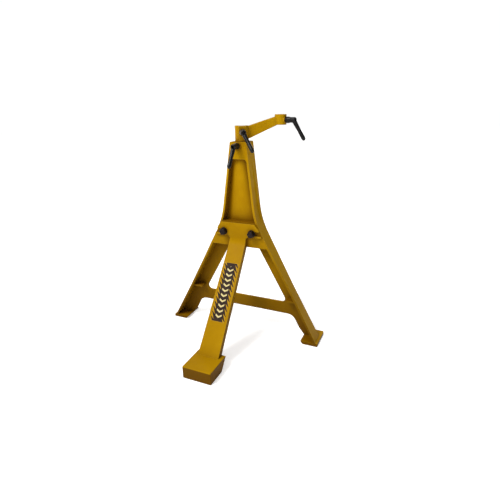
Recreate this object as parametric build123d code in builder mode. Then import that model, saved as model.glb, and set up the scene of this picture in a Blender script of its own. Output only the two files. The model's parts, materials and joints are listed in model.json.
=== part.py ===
from build123d import *
import math
import os

# Free-standing three-legged floor stand that carries a wood-lathe tool rest.
# Units are millimetres.  +Z is up, the front leg points to -Y, the two rear
# legs spread along X.  The origin is on the floor, at the centre of the
# footprint.  Y values are written from the post axis through yy().

# ---------------------------------------------------------------- dimensions
POST_Y = 166.75          # post axis, measured from the origin

COLUMN_TOP = 800.0       # top of the clamp box
BOX_HALF_TOP = 33.7      # half width of the clamp box at its top
BOX_BOTTOM = 736.0       # underside of the clamp box front wall
KNEE_X, KNEE_Z = 74.0, 494.9   # where column side and leg side would meet
KNEE_R = 314.0           # sweep between column side and leg side
LEG_END_X = 335.0        # outside of the leg at the top of the foot pad
PAD_T = 12.0             # foot pad thickness
PAD_IN, PAD_OUT = 280.0, 342.3
PAD_HALF_Y = 53.0
FLANGE_T = 8.0           # outer flange thickness
WEB_FRONT, WEB_BACK = -3.0, 5.0
LAND_Y = -51.0           # machined front land that the front leg bolts to
PANEL_TOP, PANEL_BOTTOM = 492.0, 391.0
PANEL_T = 12.0
SHELF_T = 10.0
BAR_TOP, BAR_BOTTOM = 147.0, 96.0
HOUSING_R = 24.0         # round post housing behind the web
ARCH_FRONT = -26.0       # crown of the half-round arch in front of the web
LEDGE_TOP, LEDGE_BOTTOM = 173.0, 165.0
LEDGE_FRONT = -35.0

POST_R = 16.0
POST_CLEAR = 0.05
POST_BOTTOM, POST_TOP = 497.0, 856.5
BORE_BOTTOM = 496.0

T_FRONT = -61.0          # front face of the front leg's T plate
T_TOP = 490.0
EAR_TOP_Z, EAR_BOTTOM_Z = 470.0, 436.0
BOLT_X, BOLT_Z = 61.0, 452.0
BOLT_R = 8.0
SLOT_R = 9.0
LEG_TURN_Z = 417.4       # where T plate and sloping leg would meet
LEG_FOOT_Y, LEG_FOOT_Z = -345.0, 47.0
LEG_DEPTH = 22.0
LEG_HALF_TOP, LEG_HALF_BOTTOM = 35.0, 44.0
FOOT_HALF, FOOT_TOP = 58.0, 49.0
FOOT_TOE, FOOT_BACK_TOP, FOOT_BACK_BOTTOM = -430.6, -307.0, -347.0

ARM_ANGLE = 30.0         # arm direction, from +X towards +Y
ARM_BOSS_R = 25.6
ARM_BOSS_Z0, ARM_BOSS_Z1 = 800.5, 856.5
ARM_REACH = 149.4        # post axis to tool-rest socket axis
SOCKET_BOSS_R = 22.4
SOCKET_Z0, SOCKET_Z1 = 856.7, 894.4
SOCKET_R = 12.85         # takes a 25.4 mm tool-rest stem
ARM_HALF = 11.0          # half thickness of the arm bar

STUD_R = 5.0             # M10 clamp stud
STUD_CLEAR = 0.05
TIP_GAP = 0.3
COLUMN_SCREW_Z = 785.0
ARM_SCREW_Z = 834.0
SOCKET_SCREW_Z = 874.0
COLUMN_SEAT = 40.0       # seat distance from the post axis
ARM_SEAT = 35.0
SOCKET_SEAT = 22.6       # from the socket axis
SOCKET_TURN = -10.0      # way the socket screw points, from +X towards +Y

ELBOW_H = 33.0           # clamp lever: seat to where the handle leaves
LEVER_TILT = 33.1
LEVER_LEN = 87.0
LABEL_W, LABEL_L, LABEL_T = 60.0, 238.0, 0.4


def yy(v):
    """Y in the stand's frame, from a distance off the post axis."""
    return POST_Y + v


os.makedirs("parts", exist_ok=True)

post_axis = Axis((0, POST_Y, 0), (0, 0, 1))

# ---------------------------------------------------- outline of the A-frame
leg_slope = (LEG_END_X - KNEE_X) / (KNEE_Z - PAD_T)
col_slope = (KNEE_X - BOX_HALF_TOP) / (COLUMN_TOP - KNEE_Z)


def side_points(inset):
    """Column top, knee and leg end of the outer side, moved inwards by inset."""
    col_n = inset * math.sqrt(1 + col_slope**2)
    leg_n = inset * math.sqrt(1 + leg_slope**2)
    top_x = BOX_HALF_TOP - col_n
    end_x = LEG_END_X - leg_n
    # crossing of the two moved lines
    z = (end_x + leg_slope * PAD_T - top_x - col_slope * COLUMN_TOP) / (
        leg_slope - col_slope
    )
    x = top_x + col_slope * (COLUMN_TOP - z)
    return top_x, (x, z), end_x


out_top, out_knee, out_end = side_points(0.0)
in_top, in_knee, in_end = side_points(FLANGE_T)


def col_x(z, inset=0.0):
    top_x, knee, end_x = side_points(inset)
    return top_x + col_slope * (COLUMN_TOP - z)


def leg_x(z, inset=0.0):
    top_x, knee, end_x = side_points(inset)
    return end_x + leg_slope * (PAD_T - z)


front_view = Plane(origin=(0, POST_Y, 0), x_dir=(1, 0, 0), z_dir=(0, -1, 0))
side_view = Plane(origin=(0, POST_Y, 0), x_dir=(0, 1, 0), z_dir=(1, 0, 0))

with BuildPart() as arch:
    for z in (PANEL_TOP - SHELF_T, BOX_BOTTOM + 2.0):
        with BuildSketch(Plane((0, yy(WEB_FRONT), z))):
            Ellipse(1.25 * col_x(z, FLANGE_T), WEB_FRONT - ARCH_FRONT)
    loft()
    with Locations((0, yy(WEB_FRONT) + 101.0, 600.0)):
        Box(400, 200, 600, mode=Mode.SUBTRACT)

with BuildPart() as rear_frame:
    # whole A shape, as deep as the deepest flange
    with BuildSketch(front_view):
        with BuildLine():
            FilletPolyline(
                (0, COLUMN_TOP),
                (BOX_HALF_TOP, COLUMN_TOP),
                (KNEE_X, KNEE_Z),
                (LEG_END_X, PAD_T),
                (PAD_OUT, PAD_T),
                (PAD_OUT, 0),
                (PAD_IN, 0),
                (250.0, 38.0),
                (227.0 - (BAR_BOTTOM - 82.0) * leg_slope, BAR_BOTTOM),
                (0, BAR_BOTTOM),
                radius=[3.0, KNEE_R, 9.0, 2.0, 1.0, 3.0, 40.0, 40.0],
            )
            Line((0, BAR_BOTTOM), (0, COLUMN_TOP))
        make_face()
        mirror(about=Plane.YZ)
        # upper opening between the legs
        with BuildLine():
            FilletPolyline(
                (62.0, 385.0),
                (195.0, BAR_TOP),
                (-195.0, BAR_TOP),
                (-62.0, 385.0),
                close=True,
                radius=[12.0, 16.0, 16.0, 12.0],
            )
        make_face(mode=Mode.SUBTRACT)
    extrude(amount=80, both=True)
    # depth of the flanges, seen from the side
    with BuildSketch(side_view):
        with BuildLine():
            Polyline(
                (-37.0, COLUMN_TOP + 1),
                (-50.0, PANEL_TOP),
                (LAND_Y, PANEL_TOP),
                (LAND_Y, PANEL_BOTTOM),
                (-47.0, 300.0),
                (-47.0, 180.0),
                (-58.0, -1.0),
                (5.0, -1.0),
                (5.0, 230.0),
                (15.0, 450.0),
                (31.0, COLUMN_TOP + 1),
                close=True,
            )
        make_face()
    extrude(amount=400, both=True, mode=Mode.INTERSECT)
    # front recess of the column, between the flanges, down to the web
    with BuildSketch(front_view.offset(-WEB_FRONT)):
        with BuildLine():
            FilletPolyline(
                (col_x(BOX_BOTTOM, FLANGE_T), BOX_BOTTOM),
                in_knee,
                (leg_x(PANEL_BOTTOM, FLANGE_T), PANEL_BOTTOM),
                (-leg_x(PANEL_BOTTOM, FLANGE_T), PANEL_BOTTOM),
                (-in_knee[0], in_knee[1]),
                (-col_x(BOX_BOTTOM, FLANGE_T), BOX_BOTTOM),
                close=True,
                radius=[14.0, KNEE_R + FLANGE_T, 1.0, 1.0, KNEE_R + FLANGE_T, 14.0],
            )
        make_face()
        with BuildLine():
            Polyline(
                (-200, PANEL_TOP), (200, PANEL_TOP), (200, 300), (-200, 300), close=True
            )
        make_face(mode=Mode.SUBTRACT)
    extrude(amount=80, mode=Mode.SUBTRACT)
    # pocket under the shelf, behind the front panel, open downwards, and the
    # front channels of the two legs down to the crossbar ledge
    with BuildSketch(front_view.offset(-WEB_FRONT)):
        with BuildLine():
            Polyline(
                (leg_x(PANEL_TOP - SHELF_T, FLANGE_T + 4), PANEL_TOP - SHELF_T),
                (leg_x(PANEL_BOTTOM, FLANGE_T), PANEL_BOTTOM),
                (leg_x(LEDGE_TOP, FLANGE_T), LEDGE_TOP),
                (-leg_x(LEDGE_TOP, FLANGE_T), LEDGE_TOP),
                (-leg_x(PANEL_BOTTOM, FLANGE_T), PANEL_BOTTOM),
                (-leg_x(PANEL_TOP - SHELF_T, FLANGE_T + 4), PANEL_TOP - SHELF_T),
                close=True,
            )
        make_face()
    extrude(amount=-LAND_Y - PANEL_T + WEB_FRONT, mode=Mode.SUBTRACT)
    with BuildSketch(front_view.offset(-WEB_FRONT)):
        with BuildLine():
            Polyline(
                (leg_x(PANEL_BOTTOM, FLANGE_T), PANEL_BOTTOM),
                (leg_x(LEDGE_TOP, FLANGE_T), LEDGE_TOP),
                (-leg_x(LEDGE_TOP, FLANGE_T), LEDGE_TOP),
                (-leg_x(PANEL_BOTTOM, FLANGE_T), PANEL_BOTTOM),
                close=True,
            )
        make_face()
    extrude(amount=80, mode=Mode.SUBTRACT)
    # channels below the ledge, down to the foot pads
    with BuildSketch(front_view.offset(-WEB_FRONT)):
        with BuildLine():
            Polyline(
                (leg_x(LEDGE_BOTTOM, FLANGE_T), LEDGE_BOTTOM),
                (leg_x(PAD_T, FLANGE_T), PAD_T),
                (200.0, PAD_T),
                (-200.0, PAD_T),
                (-leg_x(PAD_T, FLANGE_T), PAD_T),
                (-leg_x(LEDGE_BOTTOM, FLANGE_T), LEDGE_BOTTOM),
                close=True,
            )
        make_face()
    extrude(amount=80, mode=Mode.SUBTRACT)
    # the ledge is shallower than the flanges
    with BuildSketch(front_view.offset(-LEDGE_FRONT)):
        with BuildLine():
            Polyline(
                (leg_x(LEDGE_TOP + 1, FLANGE_T), LEDGE_TOP + 1),
                (leg_x(LEDGE_BOTTOM - 1, FLANGE_T), LEDGE_BOTTOM - 1),
                (-leg_x(LEDGE_BOTTOM - 1, FLANGE_T), LEDGE_BOTTOM - 1),
                (-leg_x(LEDGE_TOP + 1, FLANGE_T), LEDGE_TOP + 1),
                close=True,
            )
        make_face()
    extrude(amount=80, mode=Mode.SUBTRACT)
    with BuildSketch(front_view.offset(-WEB_FRONT)):
        with Locations((0, (LEDGE_TOP + LEDGE_BOTTOM) / 2)):
            Rectangle(2 * 196.0, LEDGE_TOP - LEDGE_BOTTOM + 2)
    extrude(amount=80, mode=Mode.SUBTRACT)
    # back recess, between the flanges, behind the web
    with BuildSketch(front_view.offset(-WEB_BACK)):
        with BuildLine():
            FilletPolyline(
                (col_x(BOX_BOTTOM, FLANGE_T), BOX_BOTTOM),
                in_knee,
                (in_end, PAD_T),
                (-in_end, PAD_T),
                (-in_knee[0], in_knee[1]),
                (-col_x(BOX_BOTTOM, FLANGE_T), BOX_BOTTOM),
                close=True,
                radius=[9.0, KNEE_R + FLANGE_T, 1.0, 1.0, KNEE_R + FLANGE_T, 9.0],
            )
        make_face()
    extrude(amount=-80, mode=Mode.SUBTRACT)
    # foot pads run further back than the flanges
    with BuildSketch(Plane.XY):
        for sx in (-1, 1):
            with Locations((sx * (PAD_IN + PAD_OUT) / 2, POST_Y)):
                RectangleRounded(PAD_OUT - PAD_IN, 2 * PAD_HALF_Y, 5.0)
    extrude(amount=PAD_T)
    # post housing: a round behind the web, a broad half-round arch in front
    with BuildSketch(Plane((0, POST_Y, PANEL_TOP - SHELF_T))):
        Circle(HOUSING_R)
    extrude(amount=BOX_BOTTOM - PANEL_TOP + SHELF_T + 2)
    add(arch.part)
    # seat for the clamp lever
    with BuildSketch(front_view.offset(30.0)):
        with Locations((0, COLUMN_SCREW_Z)):
            Circle(13.0)
    extrude(amount=COLUMN_SEAT - 30.0)
    # post bore, clamp screw hole and leg bolt holes
    with BuildSketch(Plane((0, POST_Y, BORE_BOTTOM))):
        Circle(POST_R + POST_CLEAR)
    extrude(amount=400, mode=Mode.SUBTRACT)
    with BuildSketch(front_view):
        with Locations((0, COLUMN_SCREW_Z)):
            Circle(STUD_R + STUD_CLEAR)
    extrude(amount=60, mode=Mode.SUBTRACT)
    with BuildSketch(front_view.offset(-LAND_Y + 2)):
        with Locations((-BOLT_X, BOLT_Z), (BOLT_X, BOLT_Z)):
            Circle(BOLT_R + 0.75)
    extrude(amount=-PANEL_T - 6, mode=Mode.SUBTRACT)
rear_frame.part.label = "rear_frame"

# ------------------------------------------------------------------ front leg
leg_dir = Vector(0, LEG_FOOT_Y - T_FRONT, LEG_FOOT_Z - LEG_TURN_Z).normalized()
back_dir = Vector(0, -leg_dir.Z, leg_dir.Y)          # from front face to back face
by = T_FRONT + back_dir.Y * LEG_DEPTH
bz = LEG_TURN_Z + back_dir.Z * LEG_DEPTH
run = leg_dir.Y / leg_dir.Z                          # y per z along the leg


def front_y(z):
    return T_FRONT + (z - LEG_TURN_Z) * run


def back_y(z, depth=LEG_DEPTH):
    return (
        T_FRONT
        + back_dir.Y * depth
        + (z - LEG_TURN_Z - back_dir.Z * depth) * run
    )


land_z = LEG_TURN_Z + back_dir.Z * LEG_DEPTH + (LAND_Y - by) / run

with BuildPart() as foot_block:
    with BuildSketch(side_view):
        with BuildLine():
            FilletPolyline(
                (FOOT_TOE, 0),
                (FOOT_TOE, FOOT_TOP),
                (FOOT_BACK_TOP, FOOT_TOP),
                (FOOT_BACK_BOTTOM, 0),
                close=True,
                radius=[2.5, 4.0, 4.0, 2.5],
            )
        make_face()
    extrude(amount=FOOT_HALF, both=True)
    fillet(
        foot_block.faces().sort_by(Axis.X)[0].edges()
        + foot_block.faces().sort_by(Axis.X)[-1].edges(),
        radius=2.0,
    )

with BuildPart() as front_leg:
    # T plate, spine and sloping leg, seen from the side
    with BuildSketch(side_view):
        with BuildLine():
            FilletPolyline(
                (LAND_Y, T_TOP),
                (T_FRONT, T_TOP),
                (T_FRONT, LEG_TURN_Z),
                (front_y(20.0), 20.0),
                (back_y(20.0), 20.0),
                (LAND_Y, land_z),
                close=True,
                radius=[0.5, 0.5, 60.0, 1.0, 1.0, 20.0],
            )
        make_face()
    extrude(amount=60, both=True)
    with BuildSketch(front_view):
        with BuildLine():
            Polyline(
                (-LEG_HALF_TOP, T_TOP + 5),
                (LEG_HALF_TOP, T_TOP + 5),
                (LEG_HALF_TOP, LEG_TURN_Z),
                (LEG_HALF_BOTTOM, 10.0),
                (-LEG_HALF_BOTTOM, 10.0),
                (-LEG_HALF_TOP, LEG_TURN_Z),
                close=True,
            )
        make_face()
    extrude(amount=600, mode=Mode.INTERSECT)
    # ears of the T plate
    with BuildSketch(front_view.offset(-LAND_Y)):
        with BuildLine():
            FilletPolyline(
                (-72.0, T_TOP),
                (72.0, T_TOP),
                (88.0, EAR_TOP_Z),
                (103.0, EAR_BOTTOM_Z),
                (LEG_HALF_TOP - 0.5, EAR_BOTTOM_Z),
                (LEG_HALF_TOP - 0.5, EAR_BOTTOM_Z - 22),
                (-LEG_HALF_TOP + 0.5, EAR_BOTTOM_Z - 22),
                (-LEG_HALF_TOP + 0.5, EAR_BOTTOM_Z),
                (-103.0, EAR_BOTTOM_Z),
                (-88.0, EAR_TOP_Z),
                close=True,
                radius=[6, 6, 10, 3, 14, 1, 1, 14, 3, 10],
            )
        make_face()
        for sx in (-1, 1):
            with Locations((sx * (BOLT_X + 35.0), BOLT_Z)):
                SlotOverall(70.0 + 2 * SLOT_R, 2 * SLOT_R, mode=Mode.SUBTRACT)
    extrude(amount=LAND_Y - T_FRONT)
    # foot block
    add(foot_block.part)
    # lightening pockets along the back, with two cross ribs between them
    for z_top, z_bottom in ((372.0, 275.0), (268.0, 171.0), (164.0, 72.0)):
        half = LEG_HALF_TOP - 8.0
        with BuildSketch(side_view):
            with BuildLine():
                Polyline(
                    (back_y(z_top, 8.0), z_top),
                    (back_y(z_bottom, 8.0), z_bottom),
                    (back_y(z_bottom, 60.0), z_bottom - 30.0),
                    (back_y(z_top, 60.0), z_top - 30.0),
                    close=True,
                )
            make_face()
        extrude(amount=half, both=True, mode=Mode.SUBTRACT)
front_leg.part.label = "front_leg"

# ---------------------------------------------------- front leg bolt hardware
head_y = -T_FRONT + 3.0 + 4.0        # washers lie under the heads
with BuildPart() as leg_bolts:
    with BuildSketch(front_view.offset(head_y)):
        with Locations((-BOLT_X, BOLT_Z), (BOLT_X, BOLT_Z)):
            RegularPolygon(12.0, 6, major_radius=False)
    extrude(amount=10.0)
    with BuildSketch(front_view.offset(head_y)):
        with Locations((-BOLT_X, BOLT_Z), (BOLT_X, BOLT_Z)):
            Circle(BOLT_R)
    extrude(amount=-(head_y - 22.0))
    chamfer(
        leg_bolts.faces().sort_by(Axis.Y)[:2].edges(), length=1.0
    )
leg_bolts.part.label = "leg_bolts"

with BuildPart() as leg_flat_washers:
    with BuildSketch(front_view.offset(-T_FRONT)):
        with Locations((-BOLT_X, BOLT_Z), (BOLT_X, BOLT_Z)):
            Circle(15.0)
            Circle(BOLT_R + 0.5, mode=Mode.SUBTRACT)
    extrude(amount=3.0)
leg_flat_washers.part.label = "leg_flat_washers"

with BuildPart() as leg_spring_washers:
    with BuildSketch(front_view.offset(-T_FRONT + 3.0)):
        with Locations((-BOLT_X, BOLT_Z), (BOLT_X, BOLT_Z)):
            Circle(13.2)
            Circle(BOLT_R + 0.2, mode=Mode.SUBTRACT)
        with Locations((-BOLT_X, BOLT_Z + 10.0), (BOLT_X, BOLT_Z + 10.0)):
            Rectangle(1.6, 10.0, rotation=20.0, mode=Mode.SUBTRACT)
    extrude(amount=4.0)
leg_spring_washers.part.label = "leg_spring_washers"

with BuildPart() as leg_nuts:
    with BuildSketch(front_view.offset(-LAND_Y - PANEL_T)):
        with Locations((-BOLT_X, BOLT_Z), (BOLT_X, BOLT_Z)):
            RegularPolygon(12.0, 6, major_radius=False)
            Circle(BOLT_R + 0.05, mode=Mode.SUBTRACT)
    extrude(amount=-13.0)
leg_nuts.part.label = "leg_nuts"

# ----------------------------------------------------------------- leg sticker
label_mid = Vector(0, yy(front_y(248.0)), 248.0)
label_plane = Plane(origin=label_mid, x_dir=(1, 0, 0), z_dir=-back_dir)
with BuildPart() as leg_label:
    with BuildSketch(label_plane.offset(0.02)):
        RectangleRounded(LABEL_W, LABEL_L, 2.0)
    extrude(amount=LABEL_T)
leg_label.part.label = "leg_label"

# ------------------------------------------------------------------------ post
with BuildPart() as post:
    with BuildSketch(Plane((0, POST_Y, POST_BOTTOM))):
        Circle(POST_R)
    extrude(amount=POST_TOP - POST_BOTTOM)
    chamfer(post.edges().filter_by(GeomType.CIRCLE), length=1.5)
post.part.label = "post"

# ------------------------------------------------------------------- swing arm
ca, sa = math.cos(math.radians(ARM_ANGLE)), math.sin(math.radians(ARM_ANGLE))
arm_u = Vector(ca, sa, 0)
arm_side = Vector(sa, -ca, 0)        # towards the arm's clamp lever


def on_arm(u, s=0.0, z=0.0):
    """A point by its distance along the arm, beside it and up."""
    return Vector(0, POST_Y, z) + arm_u * u + arm_side * s


turn = math.radians(SOCKET_TURN)
socket_u = Vector(math.cos(turn), math.sin(turn), 0)
socket_x = Vector(math.sin(turn), -math.cos(turn), 0)
socket_mid = on_arm(ARM_REACH, 0, SOCKET_SCREW_Z)

arm_plan = Plane(origin=on_arm(0), x_dir=arm_u, z_dir=(0, 0, 1))
arm_elev = Plane(origin=on_arm(0), x_dir=arm_u, z_dir=arm_side)

with BuildPart() as swing_arm:
    # raised bar between the two bosses
    with BuildSketch(arm_elev):
        with BuildLine():
            FilletPolyline(
                (0.0, 853.0),
                (24.0, 855.0),
                (129.0, 886.7),
                (149.4, 888.0),
                (149.4, 860.0),
                (137.0, 857.0),
                (30.0, 810.0),
                (0.0, 806.0),
                close=True,
                radius=[1, 30, 20, 1, 1, 12, 20, 1],
            )
        make_face()
    extrude(amount=ARM_HALF, both=True)
    fillet(
        swing_arm.edges()
        .filter_by(lambda e: e.length > 60.0)
        .filter_by(lambda e: abs(e.tangent_at(0.5).Z) > 0.1),
        radius=4.0,
    )
    # post boss with a flat for the clamp screw
    with BuildSketch(arm_plan.offset(ARM_BOSS_Z0)):
        Circle(ARM_BOSS_R)
        with Locations((0, -ARM_SEAT / 2)):
            Rectangle(27.0, ARM_SEAT)
    extrude(amount=ARM_BOSS_Z1 - ARM_BOSS_Z0)
    # tool-rest socket boss
    with BuildSketch(arm_plan.offset(SOCKET_Z0)):
        with Locations((ARM_REACH, 0)):
            Circle(SOCKET_BOSS_R)
    extrude(amount=SOCKET_Z1 - SOCKET_Z0)
    # thickened side where the socket screw goes through
    with BuildSketch(Plane(socket_mid, socket_x, socket_u)):
        Circle(13.0)
    extrude(amount=SOCKET_SEAT)
    chamfer(
        swing_arm.edges()
        .filter_by(GeomType.CIRCLE)
        .filter_by(lambda e: e.radius > 20 and abs(e.center().Z - SOCKET_Z1) < 0.1),
        length=1.0,
    )
    # bores
    with BuildSketch(arm_plan.offset(ARM_BOSS_Z0 - 5)):
        Circle(POST_R + POST_CLEAR)
    extrude(amount=80, mode=Mode.SUBTRACT)
    with BuildSketch(arm_plan.offset(SOCKET_Z0 - 20)):
        with Locations((ARM_REACH, 0)):
            Circle(SOCKET_R)
    extrude(amount=80, mode=Mode.SUBTRACT)
    # tapped holes and the spot face for the socket lever
    with BuildSketch(Plane(on_arm(0, 0, ARM_SCREW_Z), arm_u, arm_side)):
        Circle(STUD_R + STUD_CLEAR)
    extrude(amount=60, mode=Mode.SUBTRACT)
    with BuildSketch(Plane(socket_mid, socket_x, socket_u)):
        Circle(STUD_R + STUD_CLEAR)
    extrude(amount=60, mode=Mode.SUBTRACT)
    with BuildSketch(Plane(socket_mid + socket_u * SOCKET_SEAT, socket_x, socket_u)):
        Circle(13.0)
    extrude(amount=30, mode=Mode.SUBTRACT)
swing_arm.part.label = "swing_arm"

# ---------------------------------------------------------------- clamp levers
# Each lever is a die-cast handle on a threaded insert, with a retaining screw
# and a spring inside the hub.  A seat plane gives its place: z_dir points out
# of the casting along the stud, x_dir is the way the handle hangs.


def section_plane(seat):
    """Plane through the stud axis: local X is radial, local Y is along it."""
    return Plane(origin=seat.origin, x_dir=seat.x_dir, z_dir=-seat.y_dir)


def clamp_handle(seat):
    tilt = math.radians(LEVER_TILT)
    arm = seat.x_dir * math.cos(tilt) + seat.z_dir * math.sin(tilt)
    elbow = seat.origin + seat.z_dir * ELBOW_H
    arm_plane = Plane(origin=elbow, x_dir=seat.y_dir, z_dir=seat.y_dir.cross(arm))
    with BuildPart() as handle:
        with BuildSketch(section_plane(seat)):
            with BuildLine():
                FilletPolyline(
                    (0, 4.3), (12.0, 4.3), (12.0, 12.0), (10.2, 21.0),
                    (10.2, 42.5), (0, 42.5),
                    radius=[1.2, 4.0, 6.0, 5.0],
                )
                Line((0, 42.5), (0, 4.3))
            make_face()
        revolve(axis=Axis(seat.origin, seat.z_dir))
        with BuildSketch(arm_plane):
            with BuildLine():
                Spline(
                    (8.8, 0), (8.1, 18.0), (7.2, 44.0), (7.8, LEVER_LEN - 13.0),
                    (6.2, LEVER_LEN - 4.0), (0, LEVER_LEN),
                    tangents=[(-0.02, 1), (-1, 0)],
                )
                Line((0, LEVER_LEN), (0, 0))
                Line((0, 0), (8.8, 0))
            make_face()
        revolve(axis=Axis(elbow, arm))
        # toothed cavity, screw hole, spring and screw-head bore
        with BuildSketch(seat.offset(4.0)):
            Circle(7.2)
        extrude(amount=11.0, mode=Mode.SUBTRACT)
        with BuildSketch(seat.offset(10.0)):
            Circle(3.0)
        extrude(amount=40.0, mode=Mode.SUBTRACT)
        with BuildSketch(seat.offset(19.0)):
            Circle(6.0)
        extrude(amount=40.0, mode=Mode.SUBTRACT)
    return handle


def clamp_stud(seat, reach):
    """Collar, toothed boss and threaded shank that reaches into the casting."""
    with BuildPart() as stud:
        with BuildSketch(seat.offset(0.05)):
            Circle(9.4)
        extrude(amount=3.95)
        with BuildSketch(seat.offset(4.0)):
            Circle(6.7)
            with PolarLocations(6.6, 18):
                Circle(0.3)
        extrude(amount=10.5)
        with BuildSketch(seat):
            Circle(STUD_R)
        extrude(amount=-reach)
        with BuildSketch(seat):
            Circle(STUD_R)
        extrude(amount=1.0)
        with BuildSketch(seat.offset(14.6)):
            Circle(2.55)
        extrude(amount=-9.0, mode=Mode.SUBTRACT)
        with BuildSketch(seat.offset(-reach)):
            Circle(2.5)
        extrude(amount=4.0, mode=Mode.SUBTRACT)
    return stud


def clamp_tip(seat, reach):
    """Soft brass tip pressed into the end of the stud."""
    with BuildPart() as tip:
        with BuildSketch(seat.offset(-reach)):
            Circle(4.0)
        extrude(amount=-2.0)
        with BuildSketch(seat.offset(-reach)):
            Circle(2.45)
        extrude(amount=3.8)
    return tip


def clamp_screw(seat):
    with BuildPart() as screw:
        with BuildSketch(seat.offset(7.0)):
            Circle(2.5)
        extrude(amount=23.0)
        with BuildSketch(seat.offset(29.5)):
            Circle(4.6)
            RegularPolygon(2.4, 6, mode=Mode.SUBTRACT)
        extrude(amount=5.0)
        with BuildSketch(seat.offset(29.5)):
            Circle(4.6)
        extrude(amount=1.8)
    return screw


def clamp_spring(seat):
    start = seat.origin + seat.z_dir * 19.8
    with BuildPart() as spring:
        with BuildLine() as path:
            Helix(pitch=2.1, height=8.9, radius=4.3, center=start, direction=seat.z_dir)
        with BuildSketch(Plane(origin=path.edges()[0] @ 0, z_dir=path.edges()[0] % 0)):
            Circle(0.5)
        sweep()
    return spring


# column lever hangs straight down in front of the clamp box
column_seat = Plane(
    origin=(0, yy(-COLUMN_SEAT), COLUMN_SCREW_Z), x_dir=(0, 0, -1), z_dir=(0, -1, 0)
)
# arm lever hangs on the side of the arm boss, turned towards the socket
hang = math.radians(24.0)
arm_seat = Plane(
    origin=on_arm(0, ARM_SEAT, ARM_SCREW_Z),
    x_dir=arm_u * math.sin(hang) + Vector(0, 0, -1) * math.cos(hang),
    z_dir=arm_side,
)
# socket lever hangs straight down beside the end of the arm
socket_seat = Plane(
    origin=socket_mid + socket_u * SOCKET_SEAT, x_dir=(0, 0, -1), z_dir=socket_u
)
column_reach = COLUMN_SEAT - POST_R - TIP_GAP - 2.0
arm_reach = ARM_SEAT - POST_R - TIP_GAP - 2.0
socket_reach = SOCKET_SEAT - SOCKET_R - 0.75

column_lever = clamp_handle(column_seat)
column_lever.part.label = "column_lever"
column_stud = clamp_stud(column_seat, column_reach)
column_stud.part.label = "column_stud"
column_tip = clamp_tip(column_seat, column_reach)
column_tip.part.label = "column_tip"
column_lever_screw = clamp_screw(column_seat)
column_lever_screw.part.label = "column_lever_screw"
column_lever_spring = clamp_spring(column_seat)
column_lever_spring.part.label = "column_lever_spring"

arm_lever = clamp_handle(arm_seat)
arm_lever.part.label = "arm_lever"
arm_stud = clamp_stud(arm_seat, arm_reach)
arm_stud.part.label = "arm_stud"
arm_tip = clamp_tip(arm_seat, arm_reach)
arm_tip.part.label = "arm_tip"
arm_lever_screw = clamp_screw(arm_seat)
arm_lever_screw.part.label = "arm_lever_screw"
arm_lever_spring = clamp_spring(arm_seat)
arm_lever_spring.part.label = "arm_lever_spring"

socket_lever = clamp_handle(socket_seat)
socket_lever.part.label = "socket_lever"
socket_stud = clamp_stud(socket_seat, socket_reach)
socket_stud.part.label = "socket_stud"
socket_lever_screw = clamp_screw(socket_seat)
socket_lever_screw.part.label = "socket_lever_screw"
socket_lever_spring = clamp_spring(socket_seat)
socket_lever_spring.part.label = "socket_lever_spring"

# --------------------------------------------------------------------- export
export_step(rear_frame.part, "parts/rear_frame.step")
export_step(front_leg.part, "parts/front_leg.step")
export_step(leg_bolts.part, "parts/leg_bolts.step")
export_step(leg_flat_washers.part, "parts/leg_flat_washers.step")
export_step(leg_spring_washers.part, "parts/leg_spring_washers.step")
export_step(leg_nuts.part, "parts/leg_nuts.step")
export_step(leg_label.part, "parts/leg_label.step")
export_step(post.part, "parts/post.step")
export_step(swing_arm.part, "parts/swing_arm.step")
export_step(column_lever.part, "parts/column_lever.step")
export_step(column_stud.part, "parts/column_stud.step")
export_step(column_tip.part, "parts/column_tip.step")
export_step(column_lever_screw.part, "parts/column_lever_screw.step")
export_step(column_lever_spring.part, "parts/column_lever_spring.step")
export_step(arm_lever.part, "parts/arm_lever.step")
export_step(arm_stud.part, "parts/arm_stud.step")
export_step(arm_tip.part, "parts/arm_tip.step")
export_step(arm_lever_screw.part, "parts/arm_lever_screw.step")
export_step(arm_lever_spring.part, "parts/arm_lever_spring.step")
export_step(socket_lever.part, "parts/socket_lever.step")
export_step(socket_stud.part, "parts/socket_stud.step")
export_step(socket_lever_screw.part, "parts/socket_lever_screw.step")
export_step(socket_lever_spring.part, "parts/socket_lever_spring.step")
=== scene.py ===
import json
import math

import bpy
from mathutils import Matrix, Vector


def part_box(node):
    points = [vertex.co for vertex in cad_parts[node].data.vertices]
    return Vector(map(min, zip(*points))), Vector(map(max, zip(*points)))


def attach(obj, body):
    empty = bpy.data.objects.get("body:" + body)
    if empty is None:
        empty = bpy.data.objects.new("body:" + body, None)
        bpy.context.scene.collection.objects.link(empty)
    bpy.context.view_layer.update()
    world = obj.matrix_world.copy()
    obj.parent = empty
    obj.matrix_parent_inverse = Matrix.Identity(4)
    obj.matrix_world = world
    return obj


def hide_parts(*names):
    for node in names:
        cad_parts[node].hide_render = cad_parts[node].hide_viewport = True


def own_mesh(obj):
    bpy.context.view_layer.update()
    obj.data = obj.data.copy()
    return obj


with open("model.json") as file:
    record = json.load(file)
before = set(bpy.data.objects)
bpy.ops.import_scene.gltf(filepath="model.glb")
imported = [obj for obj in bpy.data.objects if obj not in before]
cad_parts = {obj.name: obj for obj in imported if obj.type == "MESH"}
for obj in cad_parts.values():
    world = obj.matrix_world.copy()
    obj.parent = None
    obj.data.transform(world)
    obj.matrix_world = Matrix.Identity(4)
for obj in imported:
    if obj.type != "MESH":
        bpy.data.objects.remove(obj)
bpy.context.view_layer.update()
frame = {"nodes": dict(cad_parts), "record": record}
nodes = frame["nodes"]

scene = bpy.context.scene

# ------------------------------------------------------------------ materials


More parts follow.
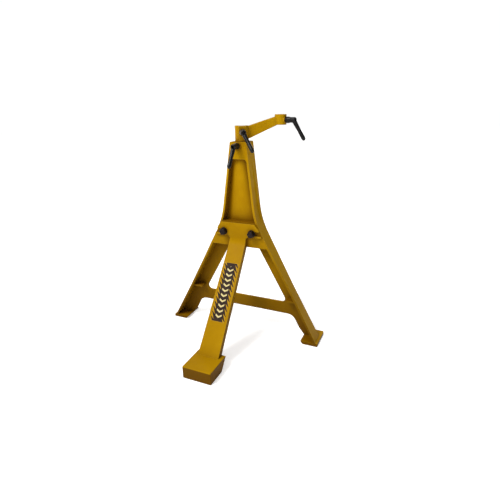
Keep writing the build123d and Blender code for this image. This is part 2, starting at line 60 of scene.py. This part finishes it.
def new_material(name):
    m = bpy.data.materials.new(name)
    m.use_nodes = True
    nt = m.node_tree
    bsdf = nt.nodes["Principled BSDF"]
    return m, nt, bsdf


class Net:
    """Small helper that wires a procedural material."""

    def __init__(self, nt):
        self.nt = nt
        self.coord = nt.nodes.new("ShaderNodeTexCoord")

    def node(self, kind, **values):
        n = self.nt.nodes.new(kind)
        for k, v in values.items():
            setattr(n, k, v)
        return n

    def link(self, a, b):
        self.nt.links.new(a, b)

    def mapped(self, scale=(1, 1, 1), rotation=(0, 0, 0), location=(0, 0, 0)):
        m = self.node("ShaderNodeMapping")
        self.link(self.coord.outputs["Object"], m.inputs["Vector"])
        m.inputs["Scale"].default_value = scale
        m.inputs["Rotation"].default_value = rotation
        m.inputs["Location"].default_value = location
        return m.outputs["Vector"]

    def noise(self, scale, detail=3.0, rough=0.5, vector=None, distortion=0.0):
        n = self.node("ShaderNodeTexNoise")
        n.inputs["Scale"].default_value = scale
        n.inputs["Detail"].default_value = detail
        n.inputs["Roughness"].default_value = rough
        n.inputs["Distortion"].default_value = distortion
        self.link(vector or self.coord.outputs["Object"], n.inputs["Vector"])
        return n.outputs["Fac"]

    def voronoi(self, scale, feature="F1", vector=None):
        n = self.node("ShaderNodeTexVoronoi", feature=feature)
        n.inputs["Scale"].default_value = scale
        self.link(vector or self.coord.outputs["Object"], n.inputs["Vector"])
        return n.outputs["Distance"]

    def math(self, op, a, b=None, c=None, clamp=False):
        n = self.node("ShaderNodeMath", operation=op, use_clamp=clamp)
        for i, v in enumerate((a, b, c)):
            if v is None:
                continue
            if isinstance(v, (int, float)):
                n.inputs[i].default_value = v
            else:
                self.link(v, n.inputs[i])
        return n.outputs[0]

    def ramp(self, fac, stops, interpolation="LINEAR"):
        n = self.node("ShaderNodeValToRGB")
        r = n.color_ramp
        r.interpolation = interpolation
        while len(r.elements) < len(stops):
            r.elements.new(0.5)
        for e, (p, c) in zip(r.elements, stops):
            e.position = p
            e.color = c if len(c) == 4 else (*c, 1)
        self.link(fac, n.inputs["Fac"])
        return n.outputs["Color"]

    def mix(self, fac, a, b, blend="MIX"):
        n = self.node("ShaderNodeMix", data_type="RGBA", blend_type=blend)
        for socket, v in ((n.inputs[0], fac), (n.inputs[6], a), (n.inputs[7], b)):
            if isinstance(v, (int, float)):
                socket.default_value = v
            elif isinstance(v, tuple):
                socket.default_value = v if len(v) == 4 else (*v, 1)
            else:
                self.link(v, socket)
        return n.outputs[2]

    def range(self, v, lo, hi, to_lo, to_hi):
        n = self.node("ShaderNodeMapRange")
        n.inputs["From Min"].default_value = lo
        n.inputs["From Max"].default_value = hi
        n.inputs["To Min"].default_value = to_lo
        n.inputs["To Max"].default_value = to_hi
        self.link(v, n.inputs["Value"])
        return n.outputs["Result"]

    def bump(self, height, strength, distance, normal=None):
        n = self.node("ShaderNodeBump")
        n.inputs["Strength"].default_value = strength
        n.inputs["Distance"].default_value = distance
        self.link(height, n.inputs["Height"])
        if normal is not None:
            self.link(normal, n.inputs["Normal"])
        return n.outputs["Normal"]

    def rounded(self, radius, samples=6):
        n = self.node("ShaderNodeBevel")
        n.samples = samples
        n.inputs["Radius"].default_value = radius
        return n.outputs["Normal"]

    def pointy(self):
        n = self.node("ShaderNodeNewGeometry")
        return n.outputs["Pointiness"]

    def edge(self, radius, samples=6):
        """0 on open faces, towards 1 at convex and concave edges."""
        b = self.node("ShaderNodeBevel")
        b.samples = samples
        b.inputs["Radius"].default_value = radius
        g = self.node("ShaderNodeNewGeometry")
        d = self.node("ShaderNodeVectorMath", operation="DOT_PRODUCT")
        self.link(b.outputs["Normal"], d.inputs[0])
        self.link(g.outputs["Normal"], d.inputs[1])
        return self.range(d.outputs["Value"], 0.995, 0.80, 0.0, 1.0)

    def occlusion(self, distance, samples=8):
        n = self.node("ShaderNodeAmbientOcclusion")
        n.samples = samples
        n.inputs["Distance"].default_value = distance
        return n.outputs["AO"]


def casting_paint():
    """Mustard enamel over a sand casting: orange peel, cast pitting, a painted highlight along the edges, thin chips
    and painted shade in the recesses, where the paint is also rougher with dust."""
    m, nt, b = new_material("casting_paint")
    t = Net(nt)
    broad = t.noise(5.0, 4.0, 0.55)
    mottled = t.noise(38.0, 5.0, 0.6)
    tone = t.ramp(broad, [(0.30, (0.340, 0.178, 0.0006)), (0.52, (0.385, 0.208, 0.0010)), (0.74, (0.430, 0.240, 0.0020))])
    tone = t.mix(t.range(mottled, 0.35, 0.7, 0.0, 0.22), tone, (0.30, 0.138, 0.0008))
    edge = t.edge(0.0022)
    wear_mask = t.math("MULTIPLY", edge, t.range(t.noise(60.0, 4.0, 0.65), 0.42, 0.62, 0.0, 1.0), clamp=True)
    # painted highlight: every edge is lightened towards a pale yellow
    tone = t.mix(t.math("MULTIPLY", edge, 0.55), tone, (0.66, 0.44, 0.055))
    # painted shade: ambient occlusion darkens creases and recesses towards dark brown; the same mask also makes the
    # paint rougher there, as dust
    recess_shade_and_dust = t.range(t.occlusion(0.030), 0.30, 0.90, 0.45, 0.0)
    recess_shade_and_dust = t.math("MULTIPLY", recess_shade_and_dust, t.range(mottled, 0.3, 0.7, 0.6, 1.0), clamp=True)
    tone = t.mix(recess_shade_and_dust, tone, (0.11, 0.045, 0.0015))
    # painted shade: upright faces are darkened towards the floor, fading out by about 0.6 m
    sep = t.node("ShaderNodeSeparateXYZ")
    t.link(t.coord.outputs["Object"], sep.inputs[0])
    geo = t.node("ShaderNodeNewGeometry")
    nrm = t.node("ShaderNodeSeparateXYZ")
    t.link(geo.outputs["Normal"], nrm.inputs[0])
    # painted shade: a wide ambient-occlusion mask darkens the channels and the faces under the ledges
    shade = t.range(t.occlusion(0.14, 12), 0.45, 0.94, 0.88, 0.0)
    tone = t.mix(shade, tone, (0.160, 0.064, 0.0008))
    low = t.range(t.math("ADD", sep.outputs["Z"], t.math("MULTIPLY", broad, 0.06)), 0.08, 0.60, 0.93, 0.0)
    upright = t.range(nrm.outputs["Z"], 0.15, 0.45, 1.0, 0.12)
    tone = t.mix(t.math("MULTIPLY", low, upright, clamp=True), tone, (0.100, 0.043, 0.0006))
    chip = t.math("MULTIPLY", t.range(edge, 0.55, 0.9, 0.0, 1.0), t.range(t.noise(170.0, 3.0, 0.7), 0.64, 0.68, 0.0, 1.0), clamp=True)
    speck = t.range(t.voronoi(26.0), 0.030, 0.022, 0.0, 1.0)
    speck = t.math("MULTIPLY", speck, t.range(t.noise(9.0, 2.0), 0.55, 0.62, 0.0, 1.0), clamp=True)
    chips = t.math("MAXIMUM", chip, speck)
    tone = t.mix(chips, tone, (0.055, 0.045, 0.04))
    t.link(tone, b.inputs["Base Color"])
    rough = t.range(t.noise(22.0, 4.0, 0.6), 0.3, 0.7, 0.30, 0.46)
    rough = t.math("ADD", rough, t.math("MULTIPLY", wear_mask, 0.12))
    rough = t.math("ADD", rough, t.math("MULTIPLY", chips, 0.25))
    rough = t.math("ADD", rough, t.math("MULTIPLY", recess_shade_and_dust, 0.25), clamp=True)
    t.link(rough, b.inputs["Roughness"])
    b.inputs["Specular IOR Level"].default_value = 0.022
    n = t.rounded(0.0016)
    n = t.bump(t.noise(75.0, 5.0, 0.62), 0.28, 0.0012, n)       # sand casting
    n = t.bump(t.noise(420.0, 2.0, 0.5), 0.22, 0.0003, n)       # orange peel
    n = t.bump(t.math("SUBTRACT", 1.0, chips), 0.5, 0.0003, n)   # chip depth
    t.link(n, b.inputs["Normal"])
    return m


def black_diecast():
    m, nt, b = new_material("black_diecast")
    t = Net(nt)
    fine = t.noise(900.0, 2.0, 0.5)
    broad = t.noise(40.0, 3.0, 0.6)
    tone = t.ramp(broad, [(0.3, (0.005, 0.005, 0.005)), (0.7, (0.011, 0.010, 0.010))])
    edge = t.edge(0.0009)
    worn = t.math("MULTIPLY", edge, t.range(t.noise(210.0, 3.0, 0.6), 0.5, 0.68, 0.0, 0.8), clamp=True)
    tone = t.mix(worn, tone, (0.20, 0.20, 0.21))
    t.link(tone, b.inputs["Base Color"])
    t.link(t.math("MULTIPLY", worn, 0.6), b.inputs["Metallic"])
    t.link(t.range(t.noise(70.0, 3.0), 0.3, 0.7, 0.20, 0.34), b.inputs["Roughness"])
    b.inputs["Specular IOR Level"].default_value = 0.16
    n = t.rounded(0.0006)
    n = t.bump(fine, 0.20, 0.00012, n)
    t.link(n, b.inputs["Normal"])
    return m


def black_oxide():
    m, nt, b = new_material("black_oxide")
    t = Net(nt)
    broad = t.noise(90.0, 4.0, 0.6)
    tone = t.ramp(broad, [(0.3, (0.010, 0.006, 0.006)), (0.6, (0.018, 0.012, 0.012)), (0.8, (0.040, 0.026, 0.022))])
    edge = t.edge(0.0007)
    tone = t.mix(t.math("MULTIPLY", edge, 0.4), tone, (0.12, 0.11, 0.11))
    t.link(tone, b.inputs["Base Color"])
    b.inputs["Metallic"].default_value = 0.85
    t.link(t.range(t.noise(160.0, 3.0), 0.3, 0.7, 0.30, 0.52), b.inputs["Roughness"])
    n = t.rounded(0.0005)
    n = t.bump(t.noise(700.0, 2.0), 0.25, 0.0001, n)
    t.link(n, b.inputs["Normal"])
    return m


def ground_steel():
    m, nt, b = new_material("ground_steel")
    t = Net(nt)
    lines = t.noise(60.0, 3.0, 0.6, vector=t.mapped(scale=(1.0, 1.0, 60.0)))
    smear = t.noise(18.0, 4.0, 0.6)
    tone = t.ramp(smear, [(0.3, (0.34, 0.33, 0.32)), (0.7, (0.50, 0.50, 0.51))])
    t.link(tone, b.inputs["Base Color"])
    b.inputs["Metallic"].default_value = 1.0
    t.link(t.range(lines, 0.3, 0.7, 0.18, 0.36), b.inputs["Roughness"])
    n = t.rounded(0.0006)
    n = t.bump(lines, 0.25, 0.00008, n)
    t.link(n, b.inputs["Normal"])
    return m


def brass():
    m, nt, b = new_material("turned_brass")
    t = Net(nt)
    rings = t.noise(900.0, 2.0)
    tone = t.ramp(t.noise(120.0, 3.0), [(0.3, (0.55, 0.34, 0.09)), (0.7, (0.72, 0.48, 0.16))])
    t.link(tone, b.inputs["Base Color"])
    b.inputs["Metallic"].default_value = 1.0
    t.link(t.range(rings, 0.3, 0.7, 0.25, 0.42), b.inputs["Roughness"])
    t.link(t.bump(rings, 0.2, 0.00006), b.inputs["Normal"])
    return m


def label_film():
    """Dark printed film with plain cream chevrons down its middle and a
    diagonal hatch along both long edges. It holds no lettering."""
    m, nt, b = new_material("label_film")
    t = Net(nt)
    lo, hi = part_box("leg_label")
    mid = (lo + hi) / 2
    tilt = math.atan2(hi.y - lo.y, hi.z - lo.z)     # leg's lean from vertical
    # across (u) and along (v) the sticker, in metres from its centre
    sep = t.node("ShaderNodeSeparateXYZ")
    t.link(t.coord.outputs["Object"], sep.inputs[0])
    u = t.math("SUBTRACT", sep.outputs["X"], mid.x)
    dy = t.math("SUBTRACT", sep.outputs["Y"], mid.y)
    dz = t.math("SUBTRACT", sep.outputs["Z"], mid.z)
    v = t.math("ADD", t.math("MULTIPLY", dy, math.sin(tilt)), t.math("MULTIPLY", dz, math.cos(tilt)))
    au = t.math("ABSOLUTE", u)
    paint = (0.42, 0.225, 0.002)
    dark = t.ramp(t.noise(60.0, 3.0), [(0.3, (0.018, 0.009, 0.006)), (0.7, (0.030, 0.016, 0.010))])
    # hatch strokes: slanted, thin out towards the rim
    stroke = t.math("ADD", v, t.math("MULTIPLY", u, 1.5))
    wave = t.math("FRACT", t.math("DIVIDE", stroke, 0.0195))
    saw = t.math("ABSOLUTE", t.math("SUBTRACT", wave, 0.5))
    width = t.range(au, 0.0170, 0.0290, 0.50, 0.13)
    hatch = t.math("LESS_THAN", saw, width)
    core = t.math("LESS_THAN", au, 0.0172)
    ends = t.math("LESS_THAN", t.math("ABSOLUTE", v), 0.1170)
    ink = t.math("MULTIPLY", t.math("MAXIMUM", core, hatch), ends)
    tone = t.mix(ink, paint, dark)
    # chevrons
    pitch = 0.0205
    k = t.math("FRACT", t.math("DIVIDE", t.math("ADD", t.math("SUBTRACT", v, t.math("MULTIPLY", au, 0.62)), 0.5), pitch))
    band = t.math("LESS_THAN", t.math("ABSOLUTE", t.math("SUBTRACT", k, 0.5)), 0.17)
    inside = t.math("MULTIPLY", t.math("LESS_THAN", au, 0.0128), t.math("LESS_THAN", t.math("ABSOLUTE", v), 0.103))
    tone = t.mix(t.math("MULTIPLY", band, inside), tone, (0.60, 0.50, 0.22))
    t.link(tone, b.inputs["Base Color"])
    t.link(t.range(t.noise(45.0, 3.0), 0.3, 0.7, 0.40, 0.52), b.inputs["Roughness"])
    b.inputs["Specular IOR Level"].default_value = 0.08
    t.link(t.bump(t.noise(260.0, 2.0), 0.08, 0.0002), b.inputs["Normal"])
    return m


made = {
    "casting_paint": casting_paint(),
    "black_diecast": black_diecast(),
    "black_oxide": black_oxide(),
    "ground_steel": ground_steel(),
    "brass_tip": brass(),
    "label_film": label_film(),
}
slot_of = {s["node"]: s["material_slot"] for s in frame["record"]["subparts"]}
for name, obj in nodes.items():
    slot = slot_of[name]
    obj.data.materials.clear()
    obj.data.materials.append(made[slot])

# on the stand each lever's spring shortens as its lever is lifted; here a coil copy stands for the spring's CAD
# node, which is hidden, and is attached to the spring's body
bodies_of = {n: body for body, names in frame["record"]["behaviour"]["bodies"].items() for n in names}
for joint in frame["record"]["behaviour"]["joints"]:
    for d in joint.get("deforming_nodes", []):
        node = nodes[d["node"]]
        coil = bpy.data.objects.new(d["node"] + "_coil", node.data.copy())
        scene.collection.objects.link(coil)
        coil.matrix_world = node.matrix_world.copy()
        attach(coil, bodies_of[d["node"]])
        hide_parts(d["node"])
        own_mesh(coil)

# ----------------------------------------------------------------- stage, light
bpy.ops.mesh.primitive_plane_add(size=30.0, location=(0, 0, 0))
floor = bpy.context.object
floor.name = "studio_floor"
fm, fnt, fb = new_material("studio_floor")
ft = Net(fnt)
ft.link(ft.ramp(ft.noise(3.0, 4.0), [(0.3, (0.93, 0.93, 0.93)), (0.7, (0.95, 0.95, 0.95))]), fb.inputs["Base Color"])
fb.inputs["Roughness"].default_value = 0.75
fb.inputs["Specular IOR Level"].default_value = 0.0
fb.inputs["Emission Color"].default_value = (1, 1, 1, 1)
fb.inputs["Emission Strength"].default_value = 0.42
floor.data.materials.append(fm)


def area(name, at, to, size, power, colour=(1, 1, 1)):
    light = bpy.data.lights.new(name, "AREA")
    light.shape = "RECTANGLE"
    light.size, light.size_y = size
    light.energy = power
    light.color = colour
    o = bpy.data.objects.new(name, light)
    o.location = at
    o.rotation_mode = "QUATERNION"
    o.rotation_quaternion = (Vector(to) - Vector(at)).to_track_quat("-Z", "Y")
    scene.collection.objects.link(o)
    return o


sun = bpy.data.lights.new("sun", "SUN")
sun.energy = 1.34
sun.angle = math.radians(16.0)
sun.color = (1.0, 0.985, 0.955)
sun_obj = bpy.data.objects.new("sun", sun)
sun_obj.rotation_mode = "QUATERNION"
sun_obj.rotation_quaternion = Vector((0.28, 0.54, -0.79)).to_track_quat("-Z", "Y")
scene.collection.objects.link(sun_obj)
area("key", (-0.60, -1.05, 1.95), (0, 0.1, 0.55), (0.8, 0.8), 16, (1.0, 0.985, 0.96))
area("fill", (0.85, -1.55, 1.35), (0, 0.1, 0.75), (0.9, 0.9), 5)
area("rim", (0.2, 2.4, 1.9), (0, 0, 0.5), (0.5, 1.4), 4)

# white studio behind, with dark flags on the right and in front of the stand
world = bpy.data.worlds.new("studio")
scene.world = world
world.use_nodes = True
wt = world.node_tree
back = wt.nodes["Background"]
back.inputs[0].default_value = (1, 1, 1, 1)
way = wt.nodes.new("ShaderNodeTexCoord")
split = wt.nodes.new("ShaderNodeSeparateXYZ")
wt.links.new(way.outputs["Generated"], split.inputs[0])


def flag(axis, lo, hi, at_lo, at_hi):
    n = wt.nodes.new("ShaderNodeMapRange")
    n.inputs["From Min"].default_value = lo
    n.inputs["From Max"].default_value = hi
    n.inputs["To Min"].default_value = at_lo
    n.inputs["To Max"].default_value = at_hi
    wt.links.new(split.outputs[axis], n.inputs["Value"])
    return n.outputs["Result"]


both = wt.nodes.new("ShaderNodeMath")
both.operation = "MULTIPLY"
wt.links.new(flag("X", 0.17, 0.42, 1.02, 0.16), both.inputs[0])
wt.links.new(flag("Y", -0.70, 0.20, 0.42, 1.0), both.inputs[1])
wt.links.new(both.outputs[0], back.inputs["Strength"])
scene.view_settings.view_transform = "Standard"
scene.view_settings.look = "None"

# ----------------------------------------------------------------------- camera
R = Vector((0.9146792524206947, 0.40381173204271453, -0.017261235638908076))
U = Vector((-0.12382103900794325, 0.3206104767813344, 0.9390832084948801))
F = Vector((-0.3847469499425725, 0.8568226229755539, -0.3432561394457196))
post_y = (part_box("post")[0].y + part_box("post")[1].y) / 2
cam_data = bpy.data.cameras.new("camera")
cam = bpy.data.objects.new("camera", cam_data)
scene.collection.objects.link(cam)
m = Matrix.Identity(4)
for i in range(3):
    m[i][0], m[i][1], m[i][2] = R[i], U[i], -F[i]
m[0][3], m[1][3], m[2][3] = 0.65888, -1.41014 + post_y, 0.92429
cam.matrix_world = m
cam_data.sensor_width = 36.0
cam_data.lens = 393.1557 * 36.0 / 500.0
cam_data.clip_start, cam_data.clip_end = 0.05, 60.0
scene.camera = cam
